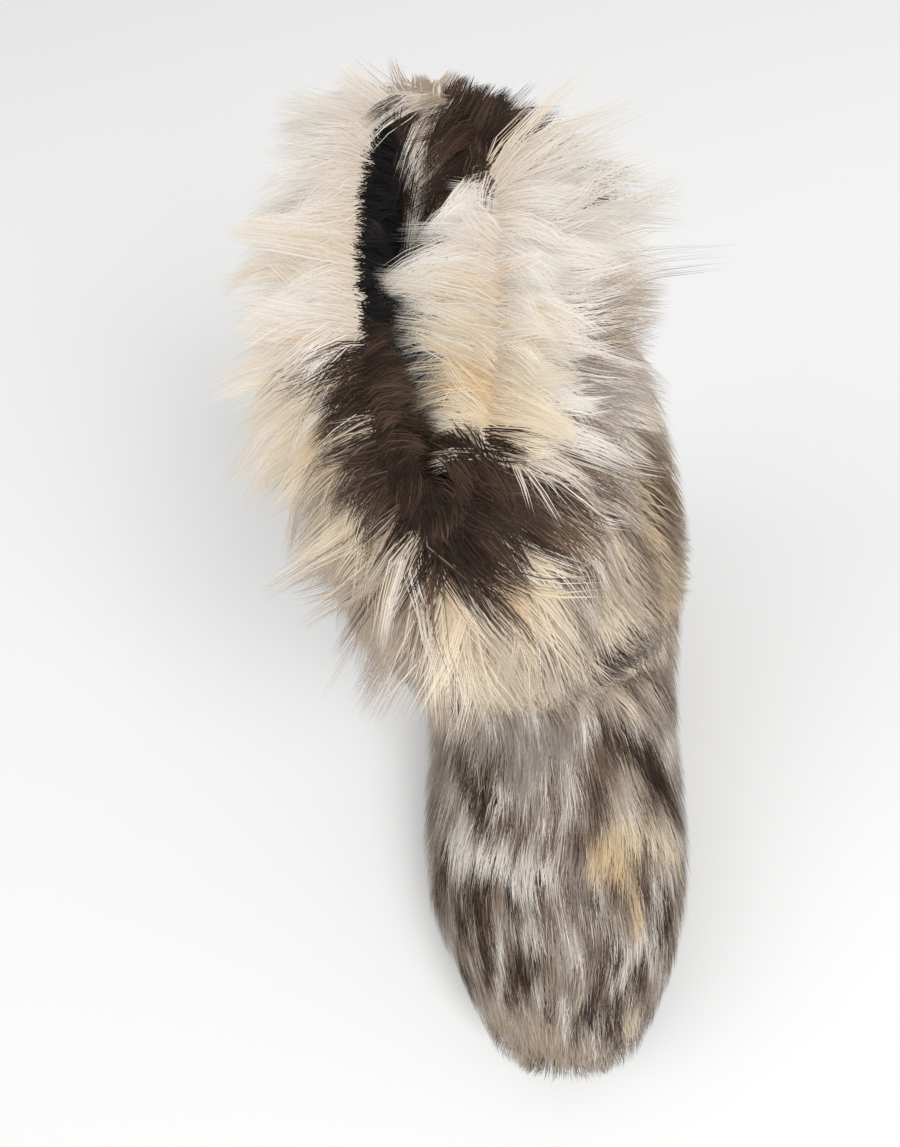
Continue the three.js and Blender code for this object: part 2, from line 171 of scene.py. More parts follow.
def cuff(q, angle, out=0.0):
    """Points of the cuff, q from 0 at its outer hem over the top to 1 at its inner hem."""
    q, angle, out = np.broadcast_arrays(*(np.asarray(v, float) for v in (q, angle, out)))
    steps = np.linspace(0, 1, len(CUFF_PROFILE))
    down, away = (np.interp(q, steps, CUFF_PROFILE[:, k]) for k in (0, 1))
    s = LAST - np.clip(down, 0, 1) * (LAST - CUFF_FROM)
    up, _, _ = body_directions(np.full_like(q, LAST), angle, np.zeros_like(q))
    p = body(s, angle, away) + up * (np.maximum(0, -down) * CUFF_DROP)[..., None]
    if np.any(out):
        p = p + cuff_outward(q, angle) * out[..., None]
    return p


def cuff_outward(q, angle):
    """Unit vectors out of the cuff's surface."""
    along = cuff(np.minimum(1, q + 0.03), angle) - cuff(np.maximum(0, q - 0.03), angle)
    around = cuff(q, angle + 0.04) - cuff(q, angle - 0.04)
    return unit(np.cross(around, along))


# Colour

PALETTE = {
    "white": (0.92, 0.895, 0.86),
    "cream": (0.91, 0.85, 0.755),
    "gold": (0.87, 0.77, 0.62),
    "beige": (0.73, 0.67, 0.60),
    "grey": (0.62, 0.58, 0.55),
    "umber": (0.43, 0.35, 0.28),
    "dark": (0.225, 0.17, 0.135),
    # black is used only deep in the mouth: dark fur with painted shade of the mouth's depth
    "black": (0.075, 0.065, 0.065),
}


def linear(colour):
    """A colour as it looks on a screen, from 0 to 1, as the amounts of light that the renderer uses."""
    c = np.asarray(colour, float)
    return np.where(c <= 0.04045, c / 12.92, ((c + 0.055) / 1.055) ** 2.4)


COLOURS = {name: linear(colour) for name, colour in PALETTE.items()}

# Patches of colour: colour, place in sections and angle in degrees of the middle, reach along and
# around in the same units, and strength
FOOT_PATCHES = [
    ("grey", 6.7, -10, 0.5, 30, 0.7), ("grey", 6.4, -62, 0.9, 9, 0.8),
    ("dark", 6.75, 36, 0.35, 15, 1.2), ("dark", 6.4, 52, 0.35, 12, 1.2),
    ("dark", 5.95, 67, 0.35, 8, 1.1), ("umber", 6.2, 22, 0.3, 7, 0.8), ("beige", 5.9, 34, 0.3, 10, 0.7),
    ("umber", 5.75, 12, 0.25, 4, 0.6), ("dark", 6.35, -46, 0.3, 5, 1.2),
    ("dark", 5.95, -41, 0.25, 5, 1.2), ("dark", 5.6, -34, 0.25, 5, 1.2),
    ("dark", 5.3, -27, 0.2, 6, 1.1), ("umber", 5.1, -15, 0.2, 9, 1.2), ("umber", 4.98, 2, 0.15, 9, 0.9),
    ("white", 5.6, -22, 0.3, 6, 0.8), ("grey", 5.9, -15, 0.3, 8, 0.8),
    ("white", 5.0, -43, 0.35, 9, 1.4), ("white", 4.75, -30, 0.24, 10, 1.4),
    ("white", 4.6, -14, 0.22, 11, 1.2), ("white", 4.58, -2, 0.2, 10, 1.1),
    ("grey", 4.55, 9, 0.2, 8, 1.0), ("dark", 4.75, -61, 0.2, 5, 0.9), ("cream", 5.2, 58, 0.4, 14, 1.3),
    ("gold", 5.0, 31, 0.3, 9, 1.3), ("cream", 5.3, 40, 0.2, 10, 1.0), ("gold", 4.75, 20, 0.25, 5, 1.0),
    ("gold", 4.55, 31, 0.3, 4, 1.0), ("umber", 5.45, 44, 0.15, 3, 0.7),
    ("umber", 5.2, 52, 0.15, 3, 0.6), ("dark", 4.35, 27, 0.2, 3, 1.0), ("dark", 4.3, 46, 0.25, 3, 1.1),
    ("gold", 4.15, 38, 0.35, 3, 0.9), ("dark", 4.05, 60, 0.45, 5, 1.1), ("dark", 4.2, 15, 0.25, 3, 1.0),
    ("umber", 4.2, 6, 0.3, 3, 0.7), ("dark", 4.15, -18, 0.2, 3, 0.9), ("dark", 4.2, -38, 0.25, 4, 0.9),
    ("umber", 4.0, -4, 0.25, 4, 0.8), ("dark", 3.2, -35, 0.25, 4, 1.0), ("dark", 3.05, -6, 0.2, 4, 0.9),
    ("dark", 3.3, 33, 0.3, 4, 1.0), ("dark", 3.1, 50, 0.35, 5, 1.0), ("umber", 3.5, 18, 0.3, 4, 0.8),
    ("umber", 2.9, 10, 0.25, 4, 0.8), ("umber", 3.6, -22, 0.25, 4, 0.7),
    ("umber", 2.7, 60, 0.3, 5, 0.9), ("dark", 2.0, 21, 0.4, 5, 1.2), ("dark", 2.3, 40, 0.3, 6, 1.0),
    ("cream", 1.9, 60, 0.35, 8, 1.5), ("umber", 1.4, 40, 0.3, 12, 0.8),
    ("beige", 1.3, -15, 0.6, 24, 0.9), ("beige", 1.6, -50, 0.6, 20, 0.8),
    ("beige", 1.0, 20, 0.2, 12, 0.6), ("dark", 1.5, 44, 0.3, 8, 0.9), ("beige", 0.6, 0, 0.5, 70, 0.8),
    ("dark", 5.55, -30, 0.16, 5, 0.9), ("umber", 5.2, 16, 0.16, 6, 0.9), ("dark", 5.7, 48, 0.2, 4, 0.9),
]
SHAFT_PATCHES = [
    ("beige", 15.8, 4, 1.6, 20, 1.0), ("cream", 16.4, -8, 0.9, 10, 0.9),
    ("cream", 15.6, 12, 1.0, 8, 0.8), ("grey", 15.5, -28, 2.0, 20, 1.0),
    ("grey", 15.0, -55, 2.5, 20, 1.0), ("beige", 16.0, -40, 1.2, 12, 0.7),
    ("umber", 15.2, -34, 0.5, 5, 0.7), ("umber", 14.2, -24, 0.5, 6, 0.7),
    ("umber", 16.2, -58, 0.5, 7, 0.6), ("dark", 14.6, 42, 0.5, 9, 1.1),
    ("cream", 15.6, 28, 0.4, 6, 0.9), ("umber", 15.9, 58, 0.5, 6, 0.8),
    ("beige", 16.3, 47, 0.6, 8, 1.0), ("cream", 16.0, 43, 0.4, 5, 0.9),
    ("cream", 12.8, 42, 0.8, 8, 1.0), ("dark", 12.6, 54, 0.8, 6, 0.9), ("cream", 11.0, 46, 0.8, 7, 0.8),
    ("dark", 10.0, 42, 0.6, 10, 0.9), ("umber", 9.2, 30, 0.5, 12, 0.8),
    ("umber", 16.6, 78, 0.8, 10, 0.8), ("gold", 16.3, 68, 0.4, 5, 0.8),
    ("dark", 15.9, 73, 0.35, 5, 0.9), ("gold", 15.6, 66, 0.4, 5, 0.6), ("umber", 15.0, 74, 0.7, 8, 0.9),
    ("gold", 14.4, 66, 0.7, 8, 0.5), ("beige", 13.6, 72, 0.8, 10, 0.8),
    ("umber", 12.2, 68, 0.8, 9, 0.8), ("cream", 11.0, 66, 0.7, 9, 0.8),
    ("umber", 9.6, 62, 0.5, 10, 0.8), ("grey", 9.0, 76, 0.5, 14, 0.8), ("beige", 9.0, 0, 0.6, 40, 0.9),
    ("grey", 12.0, -6, 2.0, 30, 0.8), ("umber", 16.0, 86, 0.9, 8, 0.7),
    ("grey", 16.6, 98, 0.8, 14, 0.6), ("gold", 15.0, 96, 0.6, 12, 0.6),
    ("dark", 14.0, 104, 0.8, 16, 0.8), ("cream", 12.6, 92, 0.6, 14, 0.7),
    ("umber", 11.2, 100, 0.9, 20, 0.8), ("dark", 15.6, 165, 1.0, 18, 0.9),
    ("cream", 14.0, 150, 0.9, 18, 0.9), ("white", 12.4, 175, 1.0, 22, 0.8),
    ("gold", 16.8, 145, 0.6, 14, 0.7), ("dark", 11.8, 140, 0.7, 16, 0.9),
    ("dark", 13.6, -165, 0.8, 16, 0.9), ("cream", 16.4, -150, 0.9, 16, 0.9),
    ("gold", 15.0, -128, 0.7, 14, 0.7), ("dark", 16.4, -118, 0.6, 14, 0.9),
    ("white", 13.0, -112, 1.0, 16, 0.8), ("dark", 11.6, -96, 0.7, 16, 0.9),
    ("umber", 14.6, -90, 0.8, 12, 0.8), ("cream", 11.0, -140, 0.8, 18, 0.8),
    ("umber", 10.4, -76, 0.8, 14, 0.8), ("cream", 13.4, -72, 0.7, 10, 0.7),
]
# Round the cuff the place runs from 0 at the outer hem over the top, near 0.5, to 1 at the inner hem
OUTER_PATCHES = [
    ("white", 0.4, -112, 0.6, 48, 1.5), ("cream", 0.25, -62, 0.3, 12, 0.8),
    ("cream", 0.45, -88, 0.2, 14, 0.3), ("cream", 0.36, -48, 0.08, 8, 0.9),
    ("beige", 0.16, -44, 0.16, 12, 0.9), ("umber", 0.47, -60, 0.04, 4, 0.7),
    ("dark", 0.62, -53, 0.1, 9, 1.2), ("dark", 0.52, -46, 0.08, 7, 1.0),
    ("umber", 0.43, -44, 0.04, 5, 0.9), ("beige", 0.3, -22, 0.22, 16, 1.3),
    ("cream", 0.4, -32, 0.05, 6, 0.9), ("cream", 0.34, -38, 0.05, 6, 0.7),
    ("dark", 0.52, -32, 0.09, 9, 1.1), ("gold", 0.44, -50, 0.03, 3, 0.8),
    ("grey", 0.2, -16, 0.2, 6, 0.7), ("umber", 0.42, -26, 0.03, 3, 0.6),
    ("umber", 0.3, -28, 0.05, 3, 0.6), ("dark", 0.58, -20, 0.06, 14, 1.3),
    ("dark", 0.52, 2, 0.09, 13, 1.5), ("dark", 0.47, 18, 0.11, 10, 1.5),
    ("dark", 0.46, 31, 0.1, 9, 1.5), ("dark", 0.4, 38, 0.06, 6, 1.3), ("umber", 0.44, -5, 0.04, 3, 0.9),
    ("cream", 0.36, 4, 0.08, 7, 1.4), ("cream", 0.26, 2, 0.12, 7, 1.2),
    ("beige", 0.12, 0, 0.1, 12, 1.0), ("cream", 0.37, 12, 0.04, 4, 1.0),
    ("beige", 0.28, 12, 0.1, 6, 0.8), ("umber", 0.35, 18, 0.05, 3, 0.9),
    ("gold", 0.31, 23, 0.05, 4, 0.9), ("cream", 0.33, 27, 0.05, 5, 1.2),
    ("cream", 0.24, 28, 0.07, 6, 1.0), ("beige", 0.12, 24, 0.12, 14, 0.9),
    ("umber", 0.36, 38, 0.05, 6, 1.0), ("dark", 0.3, 37, 0.04, 4, 0.9),
    ("umber", 0.22, 40, 0.06, 6, 0.8), ("beige", 0.3, 46, 0.06, 6, 0.8),
    ("umber", 0.3, 56, 0.05, 4, 0.6), ("cream", 0.53, 51, 0.1, 10, 1.4),
    ("white", 0.42, 58, 0.09, 8, 1.1), ("white", 0.45, 68, 0.14, 11, 1.3),
    ("cream", 0.52, 70, 0.06, 12, 0.7), ("grey", 0.28, 62, 0.08, 10, 0.8),
    ("white", 0.48, 90, 0.2, 18, 1.4), ("umber", 0.34, 76, 0.05, 5, 0.9),
    ("beige", 0.22, 90, 0.1, 18, 0.8), ("white", 0.36, 102, 0.18, 10, 1.1),
    ("dark", 0.5, 134, 0.35, 21, 1.5), ("umber", 0.3, 122, 0.1, 10, 0.8),
    ("grey", 0.36, 150, 0.06, 6, 0.8), ("dark", 0.55, 160, 0.2, 10, 1.2),
    ("beige", 0.4, -176, 0.3, 12, 0.9), ("umber", 0.2, 160, 0.15, 14, 0.8),
    ("white", 0.4, -154, 0.35, 14, 1.4), ("dark", 0.64, -2, 0.09, 44, 1.6),
    ("dark", 0.57, 35, 0.08, 9, 1.5), ("umber", 0.25, 43, 0.07, 7, 1.1),
    ("dark", 0.33, 45, 0.04, 4, 1.0), ("umber", 0.2, 56, 0.06, 6, 0.8),
]
INNER_PATCHES = [
    # The black patch deep in the mouth is dark fur with painted shade of the mouth's depth
    ("black", 0.8, -100, 0.5, 58, 1.5), ("dark", 0.62, -45, 0.3, 20, 1.4),
    ("dark", 0.6, 1, 0.62, 38, 1.6), ("cream", 0.6, 50, 0.4, 10, 1.4), ("gold", 0.6, 50, 0.1, 5, 0.6),
    ("white", 0.7, 84, 0.5, 26, 1.5), ("cream", 0.6, 66, 0.1, 10, 0.7),
    ("dark", 0.75, 136, 0.5, 25, 1.5), ("dark", 0.75, -163, 0.5, 13, 1.5),
    ("beige", 0.65, 170, 0.45, 8, 1.5), ("white", 0.6, 177, 0.45, 6, 1.2),
]


NOISE_CELLS = 32  # the noise repeats after as many of its cells


def lattice_noise(points, size, seed):
    """Smooth noise from 0 to 1 over space, with features of a size in millimetres."""
    table = np.random.default_rng(seed).random((NOISE_CELLS,) * 3)
    p = points / size
    i = np.floor(p).astype(int)
    f = smooth(p - i)
    total = 0
    for dx in (0, 1):
        for dy in (0, 1):
            for dz in (0, 1):
                weight = 1
                for k, d in enumerate((dx, dy, dz)):
                    weight = weight * (f[..., k] if d else 1 - f[..., k])
                x, y, z = ((i[..., k] + d) % NOISE_CELLS for k, d in enumerate((dx, dy, dz)))
                total = total + weight * table[x, y, z]
    return total


def streak(place, angle, base, seed):
    """Noise from 0 to 1 in streaks that run along the hair, over a place in sections and an angle."""
    _, _, _, (across, along), _ = base
    return lattice_noise(np.stack([angle * across, place * along, 0 * place], -1), 1, seed)


def coat_colour(points, place, angle, patches, chance, base):
    """The colour of hairs: mottled base colours, then the patches, mixed hair by hair near their edges."""
    names, edges, grain, _, shift = base
    fine = streak(place, angle, base, 8)
    value = lattice_noise(points / grain, 1, 3) * 0.36 + fine * 0.36 + chance * 0.28
    colour = COLOURS[names[0]] * np.ones(points.shape[:-1] + (3,))
    for name, edge in zip(names[1:], edges):
        colour = mix(colour, COLOURS[name], smooth((value - edge) / 0.16 + 0.5)[..., None])
    degrees = np.degrees(angle)
    wobble = (lattice_noise(points, 7, 5) - 0.5) * 0.5
    place = place + shift * (2 * fine - 1 + 0.6 * (2 * streak(place, angle, base, 9) - 1))
    for n, (name, at, turn, reach, spread, strength) in enumerate(patches):
        away = (degrees - turn + 180) % 360 - 180
        near = ((place - at) / reach) ** 2 + (away / spread) ** 2
        weight = strength * smooth((1.35 - near + wobble) / 0.7)
        lot = (chance + 0.37 * n) % 1
        share = smooth((weight - lot) / 0.6 + 0.5) * (weight > 0)
        colour = mix(colour, COLOURS[name], share[..., None])
    return colour


# The mottled ground of each coat: its colours, where one gives way to the next, the size of its mottling
# in millimetres, its streaks to a radian and to a section, and how far they carry a patch's edge
FOOT_BASE = (
    ("dark", "umber", "beige", "grey", "white"), (0.39, 0.46, 0.54, 0.64), (6, 26, 18), (28, 1.6), 0.18,
)
SHAFT_BASE = (
    ("dark", "umber", "grey", "beige", "cream"), (0.3, 0.38, 0.47, 0.66), (9, 9, 26), (16, 0.9), 0.3,
)
CUFF_BASE = (("beige", "white", "cream"), (0.35, 0.6), (9, 9, 9), (12, 9), 0.03)


# Meshes

def mesh_object(name, points, quads, triangles, colour, normals, quad_uv, triangle_uv):
    """A smooth mesh from arrays: points in millimetres, quads, triangles, a colour and a normal at each
    point, and places on the baked picture at each corner."""
    me = bpy.data.meshes.new(name)
    me.vertices.add(len(points))
    me.vertices.foreach_set("co", (points * MM).astype(np.float32).ravel())
    loops = np.concatenate([quads.ravel(), triangles.ravel()]).astype(np.int32)
    me.loops.add(len(loops))
    me.loops.foreach_set("vertex_index", loops)
    me.polygons.add(len(quads) + len(triangles))
    starts = np.concatenate([np.arange(len(quads)) * 4, 4 * len(quads) + np.arange(len(triangles)) * 3])
    me.polygons.foreach_set("loop_start", starts.astype(np.int32))
    rgba = np.column_stack([colour, np.ones(len(colour))])
    layer = me.color_attributes.new("Coat", "FLOAT_COLOR", "POINT")
    layer.data.foreach_set("color", rgba.astype(np.float32).ravel())
    uv = np.concatenate([quad_uv.reshape(-1, 2), triangle_uv.reshape(-1, 2)])
    me.uv_layers.new(name="OFBake").data.foreach_set("uv", uv.astype(np.float32).ravel())
    me.update(calc_edges=True)
    me.shade_smooth()
    me.normals_split_custom_set_from_vertices(normals.astype(np.float32))
    ob = bpy.data.objects.new(name, me)
    bpy.context.scene.collection.objects.link(ob)
    return ob


def wrapped_grid(rows, columns, first=0):
    """Quads between rows of points that each run once round."""
    r, c = np.meshgrid(np.arange(rows - 1), np.arange(columns), indexing="ij")
    n = (c + 1) % columns
    here, above = r * columns, (r + 1) * columns
    return first + np.stack([here + c, here + n, above + n, above + c], -1).reshape(-1, 4)


def cells(count, low, high):
    """The corners of a square cell of the baked picture for each of many pieces, and a cell's size."""
    side = math.ceil(math.sqrt(count))
    n = np.arange(count)
    size = np.array([1 / side, (high - low) / side])
    return np.stack([n % side, n // side], -1) * size + (0, low), size


SOFTNESS = 0.75  # how far the light falls on a hair as on the whole coat
FLATNESS = 0.4  # a hair's thickness over its width
TAPER = 2.0
HAIR_UV = (0.16, 1.0)  # the part of the baked picture that the hairs take, above that of the pile
PILE_UV = (0.0, 0.15)


def strands(paths, coat_normals, width, colours):
    """Closed three-sided, flattened hairs along paths (hair, ring, xyz), whose last ring is a point."""
    paths = fitted(paths)
    hairs, rings, _ = paths.shape
    ahead = unit(np.gradient(paths, axis=1))
    flat = unit(np.cross(ahead, coat_normals))
    other = np.cross(ahead, flat)
    taper = (1 - (np.arange(rings) / (rings - 1)) ** TAPER)[None, :, None]
    ring_points, ring_normals = [], []
    for turn in np.radians((-90, 30, 150)):
        side = flat * math.cos(turn) + other * math.sin(turn)
        edge = flat * math.cos(turn) + other * (math.sin(turn) * FLATNESS)
        ring_points.append(paths + edge * (width[:, None, None] / 2) * taper)
        ring_normals.append(unit(mix(side, coat_normals, SOFTNESS)))
    ring_points, ring_normals = (
        np.stack(ring, 2)[:, :-1].reshape(hairs, -1, 3) for ring in (ring_points, ring_normals)
    )
    points = np.concatenate([ring_points, paths[:, -1:]], 1)
    normals = np.concatenate([ring_normals, coat_normals[:, -1:]], 1)
    per = points.shape[1]
    quads, quad_uv = [], []
    for r in range(rings - 2):
        for k in range(3):
            n = (k + 1) % 3
            quads.append((3 * r + k, 3 * r + n, 3 * r + 3 + n, 3 * r + 3 + k))
            quad_uv.append(((k, r + 1), (k + 1, r + 1), (k + 1, r + 2), (k, r + 2)))
    last = 3 * (rings - 2)
    triangles, triangle_uv = [(2, 1, 0)], [((0, 0), (3, 0), (1.5, 0.8))]
    for k in range(3):
        triangles.append((last + k, last + (k + 1) % 3, per - 1))
        triangle_uv.append(((k, rings - 1), (k + 1, rings - 1), (k + 0.5, rings)))
    corner, size = cells(hairs, *HAIR_UV)
    grid = np.array([3.4, rings + 0.4])
    quad_uv, triangle_uv = (np.array(uv) / grid * size for uv in (quad_uv, triangle_uv))
    first = (np.arange(hairs) * per)[:, None, None]
    colour = np.concatenate([np.repeat(colours[:, :-1], 3, axis=1), colours[:, -1:]], 1)
    return (
        points.reshape(-1, 3),
        (first + np.array(quads)).reshape(-1, 4),
        (first + np.array(triangles)).reshape(-1, 3),
        colour.reshape(-1, 3),
        normals.reshape(-1, 3),
        (corner[:, None, None] + quad_uv).reshape(-1, 4, 2),
        (corner[:, None, None] + triangle_uv).reshape(-1, 3, 2),
    )


def face_cells(quads):
    """A small cell of the baked picture for each quad of a skin."""
    corner, size = cells(len(quads), *PILE_UV)
    return corner[:, None] + np.array([(0, 0), (0.9, 0), (0.9, 0.9), (0, 0.9)]) * size


def skin(points, quads, colour):
    """A skin's arrays with its own smooth normals."""
    corners = points[quads]
    face = np.cross(corners[:, 2] - corners[:, 0], corners[:, 3] - corners[:, 1])
    normals = np.zeros_like(points)
    for k in range(4):
        np.add.at(normals, quads[:, k], face)
    triangles, triangle_uv = np.zeros((0, 3), int), np.zeros((0, 3, 2))
    return points, quads, triangles, colour, unit(normals), face_cells(quads), triangle_uv


ROOT_GRID = 181  # lines each way of the grid that the hairs' roots are spread over


def roots(ground, places, count, density, rng):
    """Places and angles of hairs, spread evenly over a stretch of a surface by its area and a density."""
    u = np.linspace(*places, ROOT_GRID)
    v = np.linspace(-math.pi, math.pi, ROOT_GRID)
    uu, vv = np.meshgrid(u, v, indexing="ij")
    p = ground(uu, vv)
    du, dv = p[1:, :-1] - p[:-1, :-1], p[:-1, 1:] - p[:-1, :-1]
    area = np.linalg.norm(np.cross(du, dv), axis=-1)
    weight = (area * density(uu[:-1, :-1], vv[:-1, :-1], p[:-1, :-1])).ravel()
    edges = np.cumsum(weight) / weight.sum()
    pick = np.searchsorted(edges, (np.arange(count) + rng.random(count)) / count)
    i, j = np.unravel_index(np.minimum(pick, len(weight) - 1), area.shape)
    return u[i] + rng.random(count) * (u[1] - u[0]), v[j] + rng.random(count) * (v[1] - v[0])


# How many locks there are, as a share of the hairs, how far a lock draws its hairs together and how much
# of their spread it leaves
SMALL_LOCKS = 0.06
SMALL_SPREAD = 0.35  # the pull of the small ones grows from the toe on, in coat
LARGE_LOCKS = 0.01
LARGE_PULL = 0.2
LARGE_SPREAD = 0.5
CUFF_LOCKS = 0.028
CUFF_PULL = 0.7
CUFF_SPREAD = 0.25


def locks_of(points, share, rng):
    """The lock that each hair belongs to: as many locks as a share of the hairs, by the nearest root."""
    chosen = rng.choice(len(points), max(1, int(len(points) * share)), replace=False)
    tree = kdtree.KDTree(len(chosen))
    for n, k in enumerate(chosen):
        tree.insert(points[k], n)
    tree.balance()
    return np.array([tree.find(p)[1] for p in points])


def gathered(paths, lock, strength, spread):
    """Paths drawn together into the locks that they belong to."""
    middle = np.zeros((lock.max() + 1,) + paths.shape[1:])
    np.add.at(middle, lock, paths)
    guide = (middle / np.maximum(np.bincount(lock), 1)[:, None, None])[lock]
    t = np.linspace(0, 1, paths.shape[1])[None, :, None]
    offset = (paths[:, :1] - guide[:, :1]) * (1 - (1 - spread) * t)
    pull = strength * smooth(t * 1.2)
    return mix(paths, guide + offset, pull)


WALK = 8  # steps that a hair's way over the surface is worked out in
TOE_START = 0.3  # the section from which hairs run on past the toe
TOE_WAY = np.array([-0.1, -0.5, -0.86])
TOE_REST = 0.15  # how much of their length they keep there


def lying_hairs(s, angle, length, root, rise, drift, rings, floor=1.2):
    """Paths of hairs that lie along the nap, towards the toe, and the coat's normals along them: they
    start at root millimetres over the upper's face and rise to rise."""
    way, turn, beyond = s.copy(), angle.copy(), np.zeros_like(s)
    points, normals = [], []
    for k in range(WALK + 1):
        out = mix(root, rise, 1 - (1 - k / WALK) ** 1.8)
        place = np.maximum(way, TOE_START)
        _, outward, pace = body_directions(place, turn, out)
        points.append(body(place, turn, out) + beyond[:, None] * TOE_WAY)
        normals.append(outward)
        step = length / WALK
        after = way - step / np.maximum(pace, 3)
        beyond = beyond + np.clip((TOE_START - after) * pace, 0, step) * TOE_REST
        way = np.maximum(after, TOE_START)
        turn = turn + drift / WALK
    points, normals = np.stack(points, 1), np.stack(normals, 1)
    points[..., 2] = np.maximum(points[..., 2], floor)
    keep = np.round(np.linspace(0, WALK, rings)).astype(int)
    return points[:, keep], normals[:, keep]


# How far the hairs may reach: the box of the solids and a little over, in millimetres
REACH_LOW = np.array(cad_box[0]) / MM + (-8, -17, 1)
REACH_HIGH = np.array(cad_box[1]) / MM + (13, 17, 16)


def fitted(paths):
    """Paths drawn back towards their roots where they would leave the boot's own space."""
    root = paths[:, :1]
    away = paths - root
    room = np.where(away > 0, REACH_HIGH - root, root - REACH_LOW)
    share = np.max(np.abs(away) / np.maximum(room, 1e-3), axis=(1, 2))
    return root + away / np.maximum(share, 1)[:, None, None]


# Painted shade: the warm tint that a hair's colour takes on towards its root
PAINTED_ROOT_SHADE_TINT = np.array([1.0, 0.9, 0.8])  # the tint of the light between the roots


def shaded(colour, rings, root, chance, lock_chance):
    """Colours along hairs, darker at the root, partly the hair's own darker root and partly painted shade
    between the hairs, warm-tinted there as painted shade, and uneven between hairs and locks, dark ones the
    most.
    """
    t = np.linspace(0, 1, rings)[None, :, None]
    pale = np.sqrt(np.mean(colour, -1))
    own = mix(mix(0.6, 2.5, chance**2.5), mix(0.9, 1.06, chance), smooth(pale * 1.7))
    light = own * mix(mix(0.55, 2.1, lock_chance**2), mix(0.88, 1.04, lock_chance), smooth(pale * 1.7))
    # Painted shade towards the root, partly the hair's own darker root, with its warm tint of painted shade
    painted_root_shade = mix(mix(0.5, root, pale)[:, None, None], 1.0, smooth(t * 1.5))
    tint = mix(PAINTED_ROOT_SHADE_TINT, 1.0, smooth(t * 1.5))
    return np.clip(colour[:, None, :] * painted_root_shade * tint * light[:, None, None], 0, 0.9)


def swirl(points, size, seed):
    """A smooth push one way or the other, from -1 to 1, that neighbouring hairs share."""
    return 2 * lattice_noise(points, size, seed) - 1


SEEN_SHARE = 0.6  # where along a lying hair its colour is seen, so where the patches are read


def coat(stretch, count, base, patches, style, rings, density, rng):
    """A lying coat over a stretch of the boot: its arrays of points, faces, colours and normals."""
    length, rise, root, width, wave, shade = style
    s, angle = roots(body, stretch, count, density, rng)
    chance = rng.random(count)
    reach = length(s, angle) * mix(0.65, 1.1, rng.random(count))
    top = rise(s, angle) * mix(0.5, 1.12, rng.random(count) ** 0.8)
    at = body(s, angle)
    drift = rng.normal(0, 0.08, count) + wave * (swirl(at, 28, 21) + 0.5 * swirl(at, 11, 22))
    paths, normals = lying_hairs(s, angle, reach, root(s, angle), top, drift, rings)
    pull = mix(0.15, 0.45, smooth((s - 1) / 2.5))[:, None, None]
    lock = locks_of(paths[:, 0], SMALL_LOCKS, rng)
    paths = gathered(paths, lock, pull, SMALL_SPREAD)
    paths = gathered(paths, locks_of(paths[:, 0], LARGE_LOCKS, rng), LARGE_PULL, LARGE_SPREAD)
    lock_chance = rng.random(lock.max() + 1)[lock]
    mood = 0.35 * lock_chance + 0.65 * chance
    _, _, pace = body_directions(s, angle, 0 * s)
    seen = s - SEEN_SHARE * reach / pace
    colour = coat_colour(paths[:, rings // 2], seen, angle, patches, mood, base)
    widths = width * mix(0.75, 1.25, rng.random(count))
    return strands(paths, normals, widths, shaded(colour, rings, shade, rng.random(count), lock_chance))


def closed_sleeve(outer, inner):
    """A sleeve between two grids of points that each run round the boot: its points and quads."""
    rows, columns, _ = outer.shape
    half = rows * columns
    ends = []
    for r, turned in ((0, True), (rows - 1, False)):
        a = r * columns + np.arange(columns)
        b = r * columns + (np.arange(columns) + 1) % columns
        ends.append(np.stack([a, b, b + half, a + half] if turned else [b, a, a + half, b + half], -1))
    inside = wrapped_grid(rows, columns, half)[:, ::-1]
    quads = np.concatenate([wrapped_grid(rows, columns), inside, *ends])
    return np.concatenate([outer.reshape(-1, 3), inner.reshape(-1, 3)]), quads


# Painted shade of the pile under the hairs: how light its colour is kept
UNDER_SHADE = 0.6
CUFF_SHADE = 0.85
PILE_FLOOR = 4  # the lowest that the pile comes, in millimetres, clear of the floor


def under_coat(places, out, base, patches, columns=96, rows=60):
    """The dense pile under the hairs, a closed sleeve between the upper's face and a height over it."""
    u = np.linspace(*places, rows)
    v = np.linspace(-math.pi, math.pi, columns, endpoint=False)
    uu, vv = np.meshgrid(u, v, indexing="ij")
    points, quads = closed_sleeve(body(uu, vv, out(uu, vv)), body(uu, vv, 0 * uu + 2 * GAP))
    points[:, 2] = np.maximum(points[:, 2], PILE_FLOOR)
    chance = lattice_noise(points, 2.5, 11)
    place, turn = (np.concatenate([g.ravel(), g.ravel()]) for g in (uu, vv))
    # The pile's colour is darkened as painted shade under the hairs
    colour = coat_colour(points, place - 0.35, turn, patches, chance, base) * UNDER_SHADE
    return skin(points, quads[:, ::-1], colour)


# The coats by the place and the angle, in millimetres
FOOT_ROOT = 3.5
FOOT_PILE_HEIGHT = 5.5


def foot_length(s, angle):
    """The length of the foot's hair: short at the toe, a little longer at its outer corner."""
    corner = np.exp(-(((s - 0.8) / 0.8) ** 2)) * smooth(-np.sin(angle) * 1.5)
    return mix(8, 28, smooth((s - 0.8) / 4.5)) + 3 * corner


def foot_rise(s, angle):
    """How high the foot's hair stands, which rounds the toe."""
    side = np.abs(np.sin(angle)) ** 3
    outer = smooth((-np.sin(angle) - 0.4) / 0.4) * smooth((5 - s) / 1.2) * smooth((s - 1) / 1.5)
    tip = mix(6, -3, side) * (1 - smooth(s / 1.8))
    return mix(11, 16.5, smooth((s - 3) / 5)) + 2 * side - 4 * outer + tip


def foot_root(s, angle):
    """Where the foot's hair starts, inside its pile."""
    return FOOT_ROOT + 0 * s


